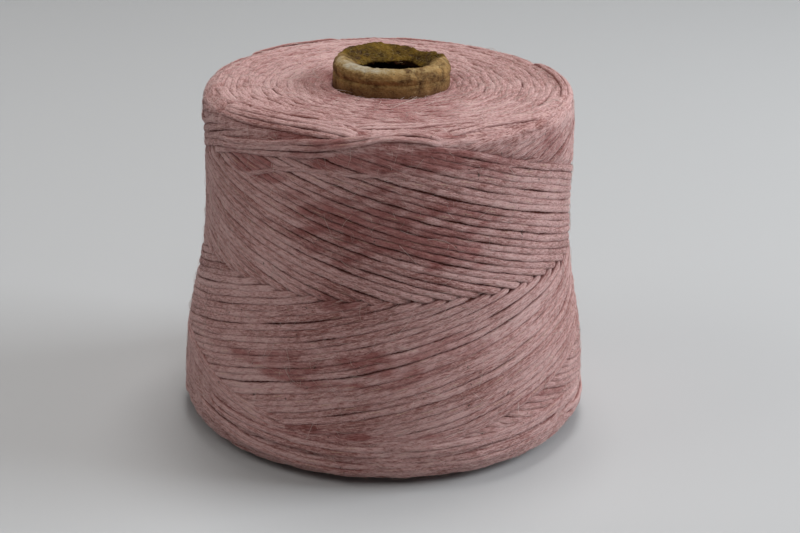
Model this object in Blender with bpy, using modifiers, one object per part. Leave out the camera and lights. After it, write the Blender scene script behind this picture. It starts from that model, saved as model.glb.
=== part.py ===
"""A spool of jute twine: one length of yarn cross-wound on a thick paper tube, standing on end.

Metres, +Z up, origin at the middle of the base.
Run with: blender --background --python part.py
"""

import math

import bpy

# ---- The wound package: its outer form ----
PACKAGE_HEIGHT = 0.1245       # base to the rim of the top face
TOP_DIP = 0.0006              # the top face sinks this much towards the tube
UPPER_RADIUS = 0.0660         # radius of the upper half
FOOT_RADIUS = 0.0735          # radius of the swollen lower third
FLARE_HEIGHT = 0.0483         # the radius is halfway between the two here
FLARE_SPREAD = 0.0094         # how gently it changes there
SHOULDER = 0.0062             # radius of the rounded top edge
FOOT_ROUND_HEIGHT = 0.0082    # the rounded bottom edge, upright
FOOT_ROUND_WIDTH = 0.0049     # the rounded bottom edge, across
BASE_CROWN = 0.0026           # the underside bulges this much below the rounded edge
BASE_FLAT_RADIUS = 0.0400     # and is flat inside this radius, where it stands
BASE_CROWN_POWER = 1.5        # 1 is a straight cone between the two, more is rounder

# ---- The winding: bands of neighbouring turns, raised in the surface ----
HELIX_ANGLE = math.radians(17.0)   # slope of the turns on the side
SEAM_HEIGHT = 0.0651               # the falling and the rising turns meet here
BAND_COUNT = 12                    # bands around the package
BAND_RELIEF = 0.0007               # ridge to groove on the side
TOP_RELIEF = 0.0005                # ridge to groove on the top face
TOP_SWEEP = 1.1                    # how far a band turns in crossing the top face, in radians

# ---- How uneven the package is: a lobe each, raised in the radius ----
# around: lobes around the package; height: lobes over its height; lean: where it peaks, in turns
LOBES = [
    {"around": 2, "height": 0.5, "lean": 0.10, "size": 0.00045},
    {"around": 3, "height": 1.0, "lean": 0.35, "size": 0.00030},
    {"around": 5, "height": 1.5, "lean": 0.80, "size": 0.00020},
]

# ---- The paper tube ----
TUBE_RADIUS = 0.0205          # outside
BORE_RADIUS = 0.0115          # inside
TUBE_HEIGHT = 0.1340          # base to the crest of the lip
TUBE_OFFSET_X = 0.0006        # the tube stands this far off the package's middle
TORN_DROP = 0.0030            # the torn back of the lip sinks this much at most
TORN_ANGLE = math.radians(65.0)    # where it is lowest
TORN_SPREAD = math.radians(28.0)   # how far it reaches around from there
TORN_RIPPLE = 0.0006          # the unevenness of the torn back
TORN_WAVES = (7, 4)           # two waves around the tube make it
FIT_GAP = 0.00035             # between the tube and the yarn around it

# The hammered lip's section: below the crest (down), and outside the wall's face (out)
LIP_OUTSIDE = [
    {"out": -0.0028, "down": 0.0000},
    {"out": -0.0010, "down": 0.0006},
    {"out": 0.0004, "down": 0.0017},
    {"out": 0.0007, "down": 0.0030},
    {"out": 0.0000, "down": 0.0044},
    {"out": -0.0006, "down": 0.0052},   # a crease runs around the wall here
    {"out": 0.0000, "down": 0.0064},
]
# The same on the bore's side, where out is measured from the bore's face
LIP_INSIDE = [
    {"out": 0.0000, "down": 0.0080},
    {"out": 0.0006, "down": 0.0038},
    {"out": 0.0018, "down": 0.0016},
    {"out": 0.0035, "down": 0.0004},
]

# ---- How finely the sections are divided ----
PACKAGE_STEPS = 72            # around the package
TUBE_STEPS = 64               # around the tube
TOP_RINGS = 6
SHOULDER_RINGS = 6
FOOT_RINGS = 5
BASE_RINGS = 3
RINGS_PER_BAND = 4            # rings of points over one band's height
SHARP_ANGLE = math.radians(50.0)
TURN = 2.0 * math.pi


def clear_scene():
    for obj in list(bpy.data.objects):
        bpy.data.objects.remove(obj, do_unlink=True)


def smooth_step(low, high, value):
    """0 below low, 1 above high, and an even S between them."""
    t = min(max((value - low) / (high - low), 0.0), 1.0)
    return t * t * (3.0 - 2.0 * t)


def make_material(name, colour, roughness):
    material = bpy.data.materials.new(name)
    material.use_nodes = True
    shader = material.node_tree.nodes["Principled BSDF"]
    shader.inputs["Base Color"].default_value = (*colour, 1.0)
    shader.inputs["Roughness"].default_value = roughness
    shader.inputs["Metallic"].default_value = 0.0
    return material


def turned_mesh(name, profile, steps):
    """Turns a closed profile of (radius, height) points around +Z, and returns the mesh."""
    outline = bpy.data.meshes.new(name + "_profile")
    points = [(radius, 0.0, height) for radius, height in profile]
    edges = [(i, (i + 1) % len(points)) for i in range(len(points))]
    outline.from_pydata(points, edges, [])
    turned = bpy.data.objects.new(name + "_profile", outline)
    bpy.context.scene.collection.objects.link(turned)
    screw = turned.modifiers.new("Turn", "SCREW")
    screw.axis = "Z"
    screw.angle = TURN
    screw.steps = steps
    screw.render_steps = steps
    screw.use_merge_vertices = True
    screw.merge_threshold = 0.00001
    depsgraph = bpy.context.evaluated_depsgraph_get()
    mesh = bpy.data.meshes.new_from_object(turned.evaluated_get(depsgraph))
    mesh.name = name
    bpy.data.objects.remove(turned, do_unlink=True)
    return mesh


def side_radius(height):
    """Radius of the package's side at a height."""
    step = 1.0 / (1.0 + math.exp((height - FLARE_HEIGHT) / FLARE_SPREAD))
    return UPPER_RADIUS + (FOOT_RADIUS - UPPER_RADIUS) * step


def band_pitch():
    """Height of one band on the side, from the slope of its turns and the count around."""
    return TURN * UPPER_RADIUS * math.tan(HELIX_ANGLE) / BAND_COUNT


def package_profile():
    """The package's section, from its bore out over the top face, down the side and back."""
    bore = TUBE_RADIUS + FIT_GAP
    shoulder_start = UPPER_RADIUS - SHOULDER
    side_top = PACKAGE_HEIGHT - SHOULDER
    side_foot = BASE_CROWN + FOOT_ROUND_HEIGHT
    points = []
    for i in range(TOP_RINGS):
        share = i / TOP_RINGS
        height = PACKAGE_HEIGHT - TOP_DIP * (1.0 - share)
        points.append((bore + (shoulder_start - bore) * share, height))
    for i in range(SHOULDER_RINGS + 1):
        turn = TURN / 4.0 * i / SHOULDER_RINGS
        points.append((shoulder_start + SHOULDER * math.sin(turn), side_top + SHOULDER * math.cos(turn)))
    side_rings = round((side_top - side_foot) / band_pitch() * RINGS_PER_BAND)
    for i in range(1, side_rings):
        height = side_top + (side_foot - side_top) * i / side_rings
        points.append((side_radius(height), height))
    foot_start = side_radius(side_foot) - FOOT_ROUND_WIDTH
    for i in range(FOOT_RINGS + 1):
        turn = TURN / 4.0 * i / FOOT_RINGS
        height = side_foot - FOOT_ROUND_HEIGHT * math.sin(turn)
        points.append((foot_start + FOOT_ROUND_WIDTH * math.cos(turn), height))
    for i in range(1, BASE_RINGS + 1):
        share = 1.0 - i / BASE_RINGS
        radius = BASE_FLAT_RADIUS + (foot_start - BASE_FLAT_RADIUS) * share
        points.append((radius, BASE_CROWN * share**BASE_CROWN_POWER))
    points.append((bore, 0.0))
    return points


def winding_relief(angle, height):
    """How far the winding's bands stand out of the side, from 0 in a groove to 1 on a ridge.

    Above the seam the turns fall as the angle grows, and below it they rise.
    """
    along = abs(height - SEAM_HEIGHT) / band_pitch() + BAND_COUNT * angle / TURN
    return 0.5 + 0.5 * math.cos(TURN * along)


def top_relief(angle, radius):
    """How far the bands stand out of the top face, where they sweep in towards the tube."""
    share = (UPPER_RADIUS - radius) / (UPPER_RADIUS - TUBE_RADIUS)
    along = BAND_COUNT * (angle + TOP_SWEEP * share) / TURN
    return 0.5 + 0.5 * math.cos(TURN * along)


def lobes(angle, height):
    """The package's unevenness at a place on its side, in metres."""
    total = 0.0
    for lobe in LOBES:
        phase = lobe["around"] * angle + TURN * (lobe["lean"] + lobe["height"] * height / PACKAGE_HEIGHT)
        total += lobe["size"] * math.cos(phase)
    return total


def raise_winding(mesh):
    """Moves the package's points: the bore onto the tube, bands and lobes on the side, and swept
    bands on the top face."""
    side_foot = BASE_CROWN + FOOT_ROUND_HEIGHT
    side_top = PACKAGE_HEIGHT - SHOULDER
    bore_limit = TUBE_RADIUS + 2.0 * FIT_GAP
    for vertex in mesh.vertices:
        x, y, height = vertex.co
        radius = math.hypot(x, y)
        if radius < bore_limit:
            vertex.co.x = x + TUBE_OFFSET_X
            continue
        angle = math.atan2(y, x)
        above_foot = smooth_step(BASE_CROWN + 0.5 * FOOT_ROUND_HEIGHT, 2.0 * side_foot, height)
        on_top = smooth_step(side_top, PACKAGE_HEIGHT, height)
        off_tube = smooth_step(bore_limit, 0.5 * UPPER_RADIUS, radius)
        growth = lobes(angle, height) * smooth_step(BASE_CROWN, side_foot, height)
        growth += BAND_RELIEF * (winding_relief(angle, height) - 0.5) * above_foot * (1.0 - on_top)
        vertex.co.x = x * (1.0 + growth / radius)
        vertex.co.y = y * (1.0 + growth / radius)
        vertex.co.z = height + TOP_RELIEF * (top_relief(angle, radius) - 0.5) * on_top * off_tube


def tube_profile():
    """The tube's section: down the outside of the lip and wall, and up the bore to the lip again."""
    middle = 0.5 * TUBE_HEIGHT
    points = [(TUBE_RADIUS + row["out"], TUBE_HEIGHT - row["down"]) for row in LIP_OUTSIDE]
    points += [(TUBE_RADIUS, middle), (TUBE_RADIUS, 0.0)]
    points += [(BORE_RADIUS, 0.0), (BORE_RADIUS, middle)]
    points += [(BORE_RADIUS + row["out"], TUBE_HEIGHT - row["down"]) for row in LIP_INSIDE]
    return points


def tear_lip(mesh):
    """Lowers the back of the lip, where its paper is torn: a dip, and small ripples."""
    lip_foot = TUBE_HEIGHT - LIP_OUTSIDE[-1]["down"]
    for vertex in mesh.vertices:
        x, y, height = vertex.co
        angle = math.atan2(y, x)
        dip = TORN_DROP * math.exp(-(((angle - TORN_ANGLE) / TORN_SPREAD) ** 2))
        at_back = smooth_step(0.0, 0.9, math.sin(angle))
        wave = math.sin(TORN_WAVES[0] * angle) * math.cos(TORN_WAVES[1] * angle + 1.0)
        ripple = TORN_RIPPLE * at_back * (0.5 + 0.5 * wave)
        share = max(height - lip_foot, 0.0) / (TUBE_HEIGHT - lip_foot)
        vertex.co.z = height - share * (dip + ripple)


def add_part(name, mesh, material, collection):
    mesh.materials.clear()
    mesh.materials.append(material)
    mesh.shade_smooth()
    mesh.set_sharp_from_angle(angle=SHARP_ANGLE)
    part = bpy.data.objects.new(name, mesh)
    collection.objects.link(part)
    return part


def build_package(collection):
    mesh = turned_mesh("yarn_package", package_profile(), PACKAGE_STEPS)
    raise_winding(mesh)
    yarn = make_material("rose_jute_yarn", (0.33, 0.19, 0.18), 0.9)
    return add_part("yarn_package", mesh, yarn, collection)


def build_tube(collection):
    mesh = turned_mesh("core_tube", tube_profile(), TUBE_STEPS)
    tear_lip(mesh)
    paper = make_material("brown_core_paper", (0.30, 0.19, 0.09), 0.85)
    tube = add_part("core_tube", mesh, paper, collection)
    tube.location.x = TUBE_OFFSET_X
    return tube


def main():
    clear_scene()
    collection = bpy.data.collections.new("jute_twine_spool")
    bpy.context.scene.collection.children.link(collection)
    build_package(collection)
    build_tube(collection)


main()
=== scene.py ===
"""Looks for a spool of jute twine: every turn of twine that shows, its stray hairs, and the paper core.

Metres, +Z up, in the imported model's frame. The package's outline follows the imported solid's box.
"""

import math
from collections import namedtuple

import bpy
import numpy as np
from mathutils import Matrix, Vector


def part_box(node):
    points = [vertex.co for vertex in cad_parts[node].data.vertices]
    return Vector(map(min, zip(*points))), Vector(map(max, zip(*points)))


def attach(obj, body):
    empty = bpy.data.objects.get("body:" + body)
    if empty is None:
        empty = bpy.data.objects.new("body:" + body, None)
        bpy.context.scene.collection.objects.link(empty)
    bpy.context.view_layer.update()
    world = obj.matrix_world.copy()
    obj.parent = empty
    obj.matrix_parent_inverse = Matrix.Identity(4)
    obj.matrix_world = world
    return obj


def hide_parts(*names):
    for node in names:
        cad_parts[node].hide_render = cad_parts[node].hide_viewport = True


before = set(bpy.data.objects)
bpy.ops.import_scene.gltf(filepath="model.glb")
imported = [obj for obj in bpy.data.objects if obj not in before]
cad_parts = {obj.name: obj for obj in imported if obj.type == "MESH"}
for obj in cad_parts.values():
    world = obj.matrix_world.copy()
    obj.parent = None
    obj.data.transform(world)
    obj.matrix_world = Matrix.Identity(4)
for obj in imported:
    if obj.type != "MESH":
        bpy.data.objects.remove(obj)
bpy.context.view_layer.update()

TURN = 2.0 * math.pi
YARN_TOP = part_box("yarn_package")[1].z
TUBE_LOW, TUBE_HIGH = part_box("core_tube")

# ---- The package's outline ----
TOP_RELIEF = 0.0005  # ridge to groove of the solid's bands on its top face
PACKAGE_HEIGHT = YARN_TOP - 0.5 * TOP_RELIEF
TOP_DIP = 0.0006  # the top face sinks this much towards the tube
FOOT_RADIUS = 0.0735
UPPER_RADIUS = 0.0660
FLARE_HEIGHT = 0.0483
FLARE_SPREAD = 0.0094
SHOULDER = 0.0062
FOOT_ROUND_HEIGHT = 0.0082
FOOT_ROUND_WIDTH = 0.0049
BASE_CROWN = 0.0026  # the underside bulges this much below the rounded edge
BASE_FLAT_RADIUS = 0.0400
BASE_CROWN_POWER = 1.5
SIDE_FOOT = BASE_CROWN + FOOT_ROUND_HEIGHT
FACE_POINTS = 120  # samples of the outline across each face,
ROUND_POINTS = 60  # over each rounded edge,
SIDE_POINTS = 400  # and down the side
TUBE_RADIUS = 0.0205
BORE_RADIUS = 0.0115
TUBE_HEIGHT = TUBE_HIGH.z
TUBE_X = 0.5 * (TUBE_LOW.x + TUBE_HIGH.x)
# around: lobes around the package; height: lobes over its height; lean: where it peaks, in turns
Lobe = namedtuple("Lobe", "around height lean size")
LOBES = [
    Lobe(2, 0.5, 0.10, 0.00045),
    Lobe(3, 1.0, 0.35, 0.00030),
    Lobe(5, 1.5, 0.80, 0.00020),
]

# ---- The twine ----
TWINE_WIDTH = 0.00262
TWINE_THICKNESS = 0.00200
SQUARENESS = 0.80  # 1 is an ellipse, less is squarer: the turns press each other flat
PLIES = 3
PLY_LAY = 0.0068  # one ply goes round the twine in this length
PLY_RELIEF = 0.100  # share of the radius
TWINE_STEP = 0.00072  # between sections of a turn
SHOWN_ARC = math.radians(108.0)  # a turn's mesh reaches this far down each of its flanks
ARC_POINTS = 7
FEWEST_STEPS = 4  # a shorter piece of a turn is left out
FLOOR_GAP = 0.0002  # nothing reaches lower than this
LAYER_DROP = 0.0021  # a turn that dives under another goes this much deeper
ON_TOP = 0.5 * TWINE_THICKNESS  # depth of a turn's middle line where it lies on top

# ---- The winding ----
STROKES = 49  # strokes down, and as many up, in the last layer
STROKE_POINTS = 1500  # samples along one
APEX = math.radians(80.0)  # the last strokes cross here, at the seam
SEAM_HEIGHT = 0.0658
TOP_TURN = 0.0034  # the strokes turn back this far past the shoulder's foot, along the outline
FOOT_TURN = 0.0050  # and this far above the start of the rounded foot
STEEPNESS = 1.12  # a stroke's slope where it crosses the seam, over its mean slope
DIVE = 1.0  # a turn dives under its neighbours over this many strokes
TIGHT_SWELL = 1.060  # the twine's width above the seam, where the turns press each other
BELOW_LESS = 0.035  # it is this much less below the seam
LOOSE_LESS = 0.135  # and this much less where the turns are loose
SEAM_BLEND = 0.004  # the width changes over this height, above and below the seam
BARELY_SHOWN = 0.04  # a turn is left out where less of it shows than this

SEED = 11
random = np.random.default_rng(SEED)


def smooth_step(low, high, value):
    """0 below low, 1 above high, and a smooth rise between them."""
    t = np.clip((value - low) / (high - low), 0.0, 1.0)
    return t * t * (3.0 - 2.0 * t)


def running(steps):
    """The running total of some steps, from 0."""
    return np.concatenate([[0.0], np.cumsum(steps)])


def unit(vectors):
    return vectors / np.linalg.norm(vectors, axis=-1, keepdims=True)


def side_radius(height):
    """The side's radius, which flares towards the foot."""
    step = 1.0 / (1.0 + np.exp((height - FLARE_HEIGHT) / FLARE_SPREAD))
    return UPPER_RADIUS + (FOOT_RADIUS - UPPER_RADIUS) * step


class Outline:
    """The package's section as a curve: from the tube over the top face, down the side, and back below.

    along is the length along that curve.
    """

    def __init__(self):
        side_top = PACKAGE_HEIGHT - SHOULDER
        face_end = UPPER_RADIUS - SHOULDER
        foot_start = side_radius(SIDE_FOOT) - FOOT_ROUND_WIDTH
        face = np.linspace(0.0, 1.0, FACE_POINTS, endpoint=False)
        turn = np.linspace(0.0, TURN / 4.0, ROUND_POINTS, endpoint=False)
        side = np.linspace(side_top, SIDE_FOOT, SIDE_POINTS, endpoint=False)
        base = np.linspace(foot_start, TUBE_RADIUS, FACE_POINTS)
        crown = np.maximum(base - BASE_FLAT_RADIUS, 0.0) / (foot_start - BASE_FLAT_RADIUS)
        # The top face, the shoulder, the side, the rounded foot and the underside
        parts = [
            (TUBE_RADIUS + (face_end - TUBE_RADIUS) * face, PACKAGE_HEIGHT - TOP_DIP * (1.0 - face)),
            (face_end + SHOULDER * np.sin(turn), side_top + SHOULDER * np.cos(turn)),
            (side_radius(side), side),
            (foot_start + FOOT_ROUND_WIDTH * np.cos(turn), SIDE_FOOT - FOOT_ROUND_HEIGHT * np.sin(turn)),
            (base, BASE_CROWN * crown**BASE_CROWN_POWER),
        ]
        radius, self.height = np.concatenate([np.stack(part) for part in parts], axis=1)
        self.along = running(np.hypot(np.diff(radius), np.diff(self.height)))
        out_radius = np.gradient(radius, self.along)
        out_height = np.gradient(self.height, self.along)
        self.curves = (radius, self.height, -out_height, out_radius)
        self.side = slice(FACE_POINTS + ROUND_POINTS, FACE_POINTS + ROUND_POINTS + SIDE_POINTS)
        self.shoulder_end = self.along[self.side.start]
        self.foot_begin = self.along[self.side.stop]
        self.base_begin = self.along[self.side.stop + ROUND_POINTS]
        self.end = self.along[-1]

    def place(self, along):
        """Radius, height, and the outward normal's radius and height."""
        radius, height, normal_radius, normal_height = (
            np.interp(along, self.along, curve) for curve in self.curves
        )
        size = np.hypot(normal_radius, normal_height)
        return radius, height, normal_radius / size, normal_height / size

    def at_height(self, height):
        """Length along the outline at a height on the side."""
        return float(np.interp(-height, -self.height[self.side], self.along[self.side]))


outline = Outline()


def turned(radius, angle, height):
    """Points at a radius and an angle around the package's axis."""
    return np.stack(np.broadcast_arrays(radius * np.cos(angle), radius * np.sin(angle), height), axis=-1)


def lobes(angle, height):
    """How far the package's slight lobes stand out."""
    total = 0.0
    for lobe in LOBES:
        phase = lobe.around * angle + TURN * (lobe.lean + lobe.height * height / PACKAGE_HEIGHT)
        total = total + lobe.size * np.cos(phase)
    return total * smooth_step(BASE_CROWN, SIDE_FOOT, height)


def on_package(along, angle, depth):
    """Points at a depth under the package's surface, and the outward normal's radius and height there."""
    radius, height, normal_radius, normal_height = outline.place(along)
    out = radius + lobes(angle, height) - depth * normal_radius
    up = height - depth * normal_height
    return turned(out, angle, up), normal_radius, normal_height


def wander(length, waves):
    """A smooth random curve over a length: waves is (wavelength, size) pairs."""
    total = np.zeros(length.shape)
    for wavelength, size in waves:
        wave = wavelength * random.uniform(0.8, 1.25)
        total += size * np.sin(TURN * length / wave + random.uniform(0.0, TURN))
    return total


def rounded(points, count):
    """Even points along a smooth curve through some points."""
    length = running(np.linalg.norm(np.diff(points, axis=0), axis=1))
    even = np.linspace(0.0, length[-1], count)
    slope = np.gradient(points, length, axis=0)
    index = np.clip(np.searchsorted(length, even, side="right") - 1, 0, len(points) - 2)
    span = (length[index + 1] - length[index])[:, None]
    t = (even - length[index])[:, None] / span
    start, end = points[index], points[index + 1]
    start_slope, end_slope = slope[index] * span, slope[index + 1] * span
    return (
        (2 * t**3 - 3 * t**2 + 1) * start
        + (t**3 - 2 * t**2 + t) * start_slope
        + (3 * t**2 - 2 * t**3) * end
        + (t**3 - t**2) * end_slope
    )


class Strips:
    """Gathers strips of mesh, each a grid of points with values, and makes one object of them."""

    def __init__(self, names):
        self.names = names
        self.points = []
        self.faces = []
        self.uvs = []
        self.values = {name: [] for name in names}
        self.count = 0

    def add(self, grid, uv, values, closed=False, looped=False):
        """grid is rows x columns x 3. closed joins each row's ends, and looped the last row to the first."""
        rows, columns = grid.shape[:2]
        index = self.count + np.arange(rows * columns).reshape(rows, columns)
        if closed:
            index = np.concatenate([index, index[:, :1]], axis=1)
        if looped:
            index = np.concatenate([index, index[:1]], axis=0)
        quads = np.stack([index[:-1, :-1], index[:-1, 1:], index[1:, 1:], index[1:, :-1]], axis=-1)
        self.points.append(grid.reshape(-1, 3))
        self.faces.append(quads.reshape(-1, 4))
        self.uvs.append(uv.reshape(-1, 2))
        for name in self.names:
            self.values[name].append(np.broadcast_to(values[name], (rows, columns)).reshape(-1))
        self.count += rows * columns

    def make(self, name, material):
        points = np.concatenate(self.points)
        faces = np.concatenate(self.faces)
        mesh = bpy.data.meshes.new(name)
        mesh.vertices.add(len(points))
        mesh.vertices.foreach_set("co", points.astype(np.float32).ravel())
        mesh.loops.add(faces.size)
        mesh.loops.foreach_set("vertex_index", faces.astype(np.int32).ravel())
        mesh.polygons.add(len(faces))
        mesh.polygons.foreach_set("loop_start", np.arange(0, faces.size, 4, dtype=np.int32))
        mesh.update(calc_edges=True)
        layer = mesh.uv_layers.new(name="lay")
        layer.uv.foreach_set("vector", np.concatenate(self.uvs)[faces.ravel()].astype(np.float32).ravel())
        for value_name in self.names:
            attribute = mesh.attributes.new(value_name, "FLOAT", "POINT")
            value = np.concatenate(self.values[value_name])
            attribute.data.foreach_set("value", value.astype(np.float32))
        mesh.shade_smooth()
        mesh.materials.append(material)
        made = bpy.data.objects.new(name, mesh)
        bpy.context.scene.collection.objects.link(made)
        return made


# ---- Colour of the twine ----

# A place on the package: azimuth from the front (degrees, + to the right), height, half sizes, strength
Patch = namedtuple("Patch", "azimuth height wide tall depth")
# Places of deeper dyeing, and painted shade: the patches under and between the slack turns near the top, and
# along a crease low on the front, are painted shade
DYE_AND_SHADE_PATCHES = [
    Patch(-4, 0.0926, 0.030, 0.013, 0.9),
    Patch(18, 0.0856, 0.016, 0.012, 0.8),
    Patch(-14, 0.0666, 0.012, 0.004, 0.6),
    Patch(5, 0.1150, 0.034, 0.0048, 1.25),
    Patch(-20, 0.1208, 0.019, 0.0028, 1.3),
    Patch(-50, 0.1215, 0.014, 0.0018, 1.0),
    Patch(14, 0.1232, 0.015, 0.0018, 0.8),
    Patch(-42, 0.1085, 0.014, 0.0052, 1.0),
    Patch(57, 0.1110, 0.010, 0.0070, 0.6),
    Patch(32, 0.1126, 0.020, 0.005, 0.5),
    Patch(-26, 0.0426, 0.016, 0.0045, 0.7),
    Patch(-44, 0.0395, 0.014, 0.0026, 0.8),
    Patch(-28, 0.0372, 0.014, 0.0024, 1.0),
    Patch(-6, 0.0378, 0.018, 0.0016, 0.8),
    Patch(4, 0.0456, 0.022, 0.0060, 0.8),
    Patch(20, 0.0506, 0.016, 0.0050, 0.5),
    Patch(-8, 0.0196, 0.034, 0.0014, 0.9),
    Patch(-32, 0.0168, 0.020, 0.0012, 0.7),
    Patch(52, 0.0226, 0.014, 0.0060, 0.5),
    Patch(128, 0.0826, 0.030, 0.0140, 0.7),
    Patch(205, 0.0976, 0.026, 0.0100, 0.8),
    Patch(180, 0.0426, 0.034, 0.0080, 0.7),
    Patch(265, 0.0626, 0.018, 0.0120, 0.6),
]
# Where the turns lie less tightly, and gaps show between them
LOOSE_PLACES = [
    Patch(-8, 0.0880, 0.030, 0.0200, 0.9),
    Patch(22, 0.0840, 0.028, 0.0180, 0.85),
    Patch(26, 0.0600, 0.034, 0.0090, 0.75),
    Patch(-20, 0.0560, 0.018, 0.0060, 0.7),
    Patch(-12, 0.0400, 0.016, 0.0050, 0.7),
    Patch(120, 0.0900, 0.040, 0.0180, 0.8),
    Patch(190, 0.0760, 0.040, 0.0220, 1.0),
    Patch(170, 0.0420, 0.030, 0.0100, 0.7),
    Patch(262, 0.0700, 0.030, 0.0200, 0.9),
]
# Painted shade darkens the yarn around the tube too: within this radius, fading to this one
YARN_SHADE_NEAR_TUBE = {"inner": 0.0225, "outer": 0.0370, "depth": 0.55}


def patches_at(places, angle, radius, height):
    """How much of a table's patches there is at points on the package: 0 outside them."""
    azimuth = angle + TURN / 4.0
    depth = np.zeros(np.broadcast(angle, height).shape)
    for place in places:
        offset = (azimuth - math.radians(place.azimuth) + math.pi) % TURN - math.pi
        across = offset * radius / place.wide
        up = (height - place.height) / place.tall
        rough = 0.25 * np.sin(9.0 * azimuth + 400.0 * height) + 0.2 * np.sin(23.0 * azimuth - 900.0 * height)
        reach = np.sqrt(across**2 + up**2) + rough
        depth = np.maximum(depth, place.depth * (1.0 - smooth_step(0.45, 1.35, reach)))
    return depth


def dye_and_shade_at(angle, radius, height):
    """How deep the dyeing and the painted shade are at points on the package: 0 where it is palest."""
    waves = 1.0 + 0.35 * np.sin(2.0 * angle + 1.1) + 0.20 * np.sin(5.0 * angle)
    near_tube = waves * YARN_SHADE_NEAR_TUBE["depth"] * (1.0 - smooth_step(YARN_SHADE_NEAR_TUBE["inner"], YARN_SHADE_NEAR_TUBE["outer"], radius))
    return np.maximum(patches_at(DYE_AND_SHADE_PATCHES, angle, radius, height), near_tube)


# ---- Turns of twine ----

# How a turn varies along its length: pairs of a wavelength in metres and a size
TURN_SWAYS = [(0.046, 0.00016), (0.019, 0.00010), (0.0083, 0.00004)]  # to its sides, metres
TURN_SINKS = [(0.037, 0.00010), (0.014, 0.00007)]  # in depth, metres
PLIES_DRIFT = [(0.031, 0.10), (0.012, 0.05)]  # of the plies' turn, in turns
TWINE_SWELLS = [(0.0110, 0.030), (0.0048, 0.020)]  # share of its width
DYE_AND_SHADE_VARIES = [(0.0230, 0.16), (0.0090, 0.14)]
TONE_VARIES = [(0.060, 0.25), (0.021, 0.20), (0.009, 0.12)]
TURN_VALUES = ["tone", "dye_and_shade", "ply"]  # what each point of the yarn says to its material


def squared(wave):
    """A sine or cosine bent so that they draw a rounded square instead of a circle."""
    return np.sign(wave) * np.abs(wave) ** SQUARENESS


def lay_twine(strips, along, angle, depth, start, tone, width, tinted_and_shaded=1.0, step=TWINE_STEP):
    """Adds one piece of a turn, whose middle line lies at a depth under the outline.

    width is a number, or one for each point of the line. tinted_and_shaded is its share of the deeper dyeing
    and painted shade around it.
    """
    point, _, _ = on_package(along, angle, depth)
    length = running(np.linalg.norm(np.diff(point, axis=0), axis=1))
    if length[-1] < FEWEST_STEPS * step:
        return
    # Even sections along the line, which wanders a little
    even = np.linspace(0.0, length[-1], int(length[-1] / step) + 1)
    along = np.interp(even, length, along) + wander(even, TURN_SWAYS)
    angle = np.interp(even, length, angle)
    depth = np.interp(even, length, depth) + wander(even, TURN_SINKS)
    width = np.interp(even, length, width + np.zeros(length.shape))
    along = np.clip(along, 0.0, outline.end)
    point, normal_radius, normal_height = on_package(along, angle, depth)
    normal = turned(normal_radius, angle, normal_height)
    ahead = unit(np.gradient(point, axis=0))
    side = unit(np.cross(ahead, normal))
    up = np.cross(side, ahead)
    # The section that shows, with its plies
    around = np.linspace(-SHOWN_ARC, SHOWN_ARC, ARC_POINTS)[None, :]
    run = (start + even)[:, None]
    drift = wander(even, PLIES_DRIFT)
    ply = np.cos(PLIES * (around + TURN * (run / PLY_LAY + drift[:, None])))
    uneven = wander(even, TWINE_SWELLS)
    swell = width[:, None] * (1.0 + PLY_RELIEF * ply + uneven[:, None])
    across = squared(np.sin(around)) * 0.5 * TWINE_WIDTH * swell
    proud = squared(np.cos(around)) * 0.5 * TWINE_THICKNESS * swell
    grid = point[:, None, :] + side[:, None, :] * across[..., None] + up[:, None, :] * proud[..., None]
    grid[..., 2] = np.maximum(grid[..., 2], FLOOR_GAP)
    uv = np.stack(np.broadcast_arrays(run, around * 0.5 * TWINE_WIDTH), axis=-1)
    radius = np.hypot(grid[..., 0], grid[..., 1])
    place = np.arctan2(grid[..., 1], grid[..., 0])
    taken = tinted_and_shaded * random.uniform(0.75, 1.25) + wander(even, DYE_AND_SHADE_VARIES)
    values = {
        "tone": tone + wander(even, TONE_VARIES)[:, None],
        "dye_and_shade": dye_and_shade_at(place, radius, grid[..., 2]) * taken[:, None],
        # ply also feeds painted highlight on the plies' crests and painted shade between them
        "ply": 0.5 + 0.5 * ply,
    }
    strips.add(grid, uv, values)


def eased(share):
    """From -1 to 0: a stroke's way from its turn to the seam, level at the turn and then straight."""
    bend = 2.0 * (1.0 - 1.0 / STEEPNESS)
    straight = STEEPNESS * share
    curved = -1.0 + STEEPNESS / (2.0 * bend) * (1.0 + share) ** 2
    return np.where(share < bend - 1.0, curved, straight)


def stroke_path(progress):
    """Length along the outline for a stroke down, for progress from 0 to one turn."""
    seam = outline.at_height(SEAM_HEIGHT)
    top = outline.shoulder_end - TOP_TURN
    foot = outline.foot_begin - FOOT_TURN
    share = (progress - math.pi) / math.pi
    above = (seam - top) * eased(np.minimum(share, 0.0))
    below = -(foot - seam) * eased(np.minimum(-share, 0.0))
    return seam + above + below


def shown_level(progress, number, own_turn):
    """1 where a stroke lies on top of the strokes that cross it, 0 where it lies under them.

    The crossing stroke's number grows by two layers of strokes over one stroke's progress, and the
    later stroke lies on top. own_turn is 0 for a stroke down and 1 for a stroke up.
    """
    met = (number + 2.0 * STROKES * progress / TURN + 0.5) % STROKES
    last_met = number + own_turn
    if last_met == 0 or last_met == STROKES:
        return np.full(progress.shape, float(own_turn))
    inside = np.minimum(met, last_met - met)
    outside = np.minimum(STROKES - met, met - last_met)
    distance = np.where(met < last_met, inside, -outside)
    return smooth_step(-DIVE, DIVE, distance)


def shown_runs(shown):
    """The first sample of each unbroken run of True, and the one past its last."""
    edges = np.flatnonzero(np.diff(np.concatenate([[0], shown.astype(int), [0]])))
    return list(zip(edges[::2], edges[1::2]))


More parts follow.
